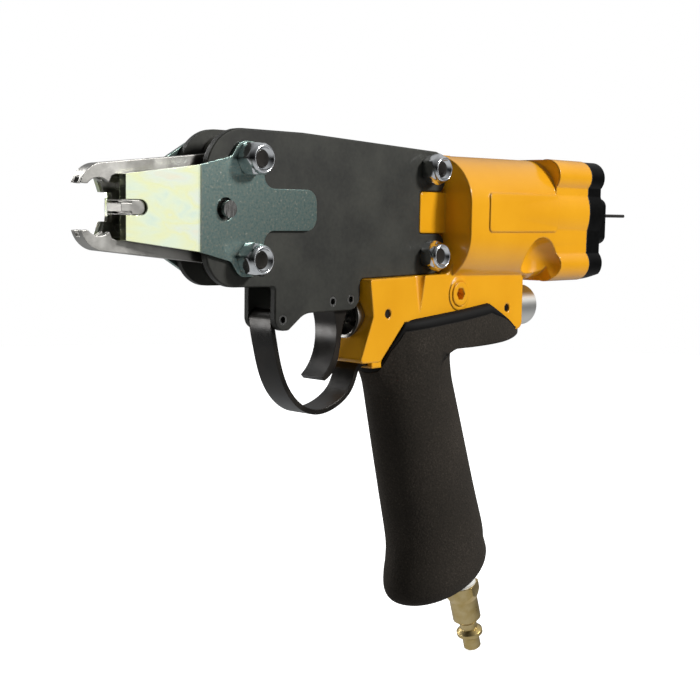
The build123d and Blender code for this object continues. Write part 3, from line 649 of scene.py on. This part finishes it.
# %% Lock nuts
HALF_FLATS = 5.55
POINTS_ROUND_NUT = 96
turns = np.linspace(0, 2 * np.pi, POINTS_ROUND_NUT, endpoint=False)
from_flat = (turns + np.pi / 6) % (np.pi / 3) - np.pi / 6
nut_rise = np.array([0.0, 0.0, 0.3, 5.0, 5.35, 5.65, 5.8, 6.5, 7.1, 7.5, 7.75, 7.8, 7.7, 7.4, 6.0])
nut_limit = np.array([3.0, 5.7, 6.2, 6.4, 6.1, 5.75, 5.5, 5.4, 5.25, 5.0, 4.7, 4.45, 4.25, 4.1, 3.2])
nut_radius = np.minimum(HALF_FLATS / np.cos(from_flat), nut_limit[:, None])


def lock_nut(x, z, seat, turn):
    """Nut on the plate face at y = -seat, turned about its bolt by so many degrees."""
    angle = turns + np.radians(turn)
    out_from_middle = seat + np.repeat(nut_rise[:, None], len(turns), 1)
    x_round = x + nut_radius * np.cos(angle)
    z_round = z + nut_radius * np.sin(angle)
    return np.stack([x_round, -out_from_middle, z_round], -1)


BOLT_Z = 17.64
PIVOT_X, REAR_X = 0.0, 102.0
PIVOT_SEAT, REAR_SEAT = 10.05, 8.55
for name, x, seat, upper_turn, lower_turn in (
    ("pivot_nuts", PIVOT_X, PIVOT_SEAT, 30, 20),
    ("rear_nuts", REAR_X, REAR_SEAT, 0, 8),
):
    pair = np.stack([lock_nut(x, BOLT_Z, seat, upper_turn), lock_nut(x, -BOLT_Z, seat, lower_turn)])
    piece = skin("lock_" + name, from_drawing(pair), bright, "frame", [name])

# %% [markdown]
# ## Floor and light
# A plain white paper lies under the tool. It glows a little, so that it stays as white as the
# background, and it is hidden from bounced and mirrored rays, because the lower half of the room's
# light already stands for it.

# %% Floor
FLOOR_RADIUS, FLOOR_GAP = 1.4, 0.001
paper, tree, place = start("white_studio_paper")
fibre = add(tree, "TexNoise", Vector=place, Scale=per_mm(40), Detail=2.0)
tone = add(tree, "ValToRGB", Fac=fibre.outputs["Fac"])
paint_ramp(tone, (0.3, "#F6F6F5"), (0.7, "#FAFAF9"))
shader = add(tree, "BsdfPrincipled", Base_Color=tone.outputs["Color"], Roughness=0.9,
             Emission_Color=(1, 1, 1, 1), Emission_Strength=0.72)
add(tree, "OutputMaterial", Surface=shader.outputs["BSDF"])
floor_z = cad_box[0][2] - FLOOR_GAP
rim = np.stack([FLOOR_RADIUS * np.cos(turns), FLOOR_RADIUS * np.sin(turns),
                np.full(len(turns), floor_z)], -1)
floor_mesh = bpy.data.meshes.new("floor")
floor_mesh.from_pydata(rim.tolist(), [], [range(len(rim))])
floor_mesh.materials.append(paper)
floor = bpy.data.objects.new("floor", floor_mesh)
scene.collection.objects.link(floor)
floor.visible_diffuse = False
floor.visible_glossy = False
print("floor at z", round(floor_z, 4))

# %% [markdown]
# Four soft boxes light the tool. The key box stands high on its left, towards the rear. The side box,
# low on the same side, is the one that the bent nose plate mirrors. A small box ahead of the jaws, on
# the far side, gives the trigger and its guard their highlights, and a last one lights the far side.

# %% Soft boxes
def soft_box(name, at, towards, size, power):
    """Rectangular area light at a place, turned to a point; size in metres, power in watts."""
    light = bpy.data.lights.new(name, "AREA")
    light.shape = "RECTANGLE"
    light.size, light.size_y = size
    light.energy = power
    box = bpy.data.objects.new(name, light)
    box.location = at
    box.rotation_euler = (Vector(towards) - Vector(at)).to_track_quat("-Z", "Y").to_euler()
    box.visible_camera = False
    scene.collection.objects.link(box)
    print(name, power, "W")


soft_box("key_box", (0.66, -1.28, 0.8), (0, 0, 0.05), (0.3, 0.3), 25)
soft_box("side_box", (0.35, -1.3, 0.25), (-0.05, 0, 0.05), (0.5, 1.0), 1.9)
soft_box("front_box", (-0.9, 0.85, -0.1), (-0.05, 0, 0.05), (0.3, 0.3), 4.5)
soft_box("far_box", (-0.15, 1.5, 0.75), (0, 0, 0.05), (0.5, 0.5), 12)

# %% [markdown]
# The rest of the light is that of a small white room: bright overhead, dim at the walls, and darker
# towards the jaws than towards the rear. Light also comes up from the paper below. The camera itself
# sees plain white behind the tool.

# %% White room
world = bpy.data.worlds.new("white_room")
scene.world = world
world.use_nodes = True
tree = world.node_tree
tree.nodes.clear()
look = add(tree, "SeparateXYZ", Vector=add(tree, "TexCoord").outputs["Generated"])
smooth = {"interpolation_type": "SMOOTHSTEP"}
overhead = add(tree, "MapRange", smooth, Value=look.outputs["Z"], From_Min=0.0, From_Max=0.8,
               To_Min=0.06, To_Max=0.55)
below = add(tree, "MapRange", smooth, Value=look.outputs["Z"], From_Min=0.0, From_Max=-0.7,
            To_Min=0.0, To_Max=0.6)
rearward = add(tree, "MapRange", Value=look.outputs["X"], From_Min=-0.9, From_Max=1.0,
               To_Min=0.1, To_Max=1.5)
glow = add(tree, "Math", {"operation": "MULTIPLY_ADD"}, _0=overhead.outputs["Result"],
           _1=rearward.outputs["Result"], _2=below.outputs["Result"])
room = add(tree, "Background", Color=linear("#F4F6F8"), Strength=glow.outputs["Value"])
paper_white = add(tree, "Background", Color=(1, 1, 1, 1), Strength=1.0)
ray = add(tree, "LightPath")
seen = add(tree, "MixShader", _0=ray.outputs["Is Camera Ray"], _1=room.outputs[0],
           _2=paper_white.outputs[0])
add(tree, "OutputWorld", Surface=seen.outputs[0])
scene.view_settings.view_transform = "Standard"

# %% [markdown]
# ## Camera
# The tool is seen from its left front, with a short telephoto lens. The view was fitted to bolts and
# edges of known place: a turn of 47.3 degrees from square-on, 6 degrees down, and a slight roll. The
# focal length came out in pixels of a square picture, so it is scaled to the width of the sensor.

# %% Camera
TURN, DOWN, ROLL = np.radians((47.31, 6.05, 0.86))
CAMERA_AT = (-0.41686, -0.3432, 0.09853)
PICTURE_PIXELS, FOCAL_PIXELS = 700, 1273
SENSOR_MM = 36
ahead = Vector((np.sin(TURN) * np.cos(DOWN), np.cos(TURN) * np.cos(DOWN), -np.sin(DOWN)))
level = Vector((np.cos(TURN), -np.sin(TURN), 0))
upright = level.cross(ahead)
right = np.cos(ROLL) * level + np.sin(ROLL) * upright
up = np.cos(ROLL) * upright - np.sin(ROLL) * level
lens = bpy.data.cameras.new("camera")
lens.sensor_width = SENSOR_MM
lens.lens = SENSOR_MM * FOCAL_PIXELS / PICTURE_PIXELS
lens.clip_start = 0.01
camera = bpy.data.objects.new("camera", lens)
place_and_turn = Matrix((right, up, -ahead)).transposed().to_4x4()
place_and_turn.translation = CAMERA_AT
camera.matrix_world = place_and_turn
scene.collection.objects.link(camera)
scene.camera = camera
print("lens", round(lens.lens, 1), "mm")
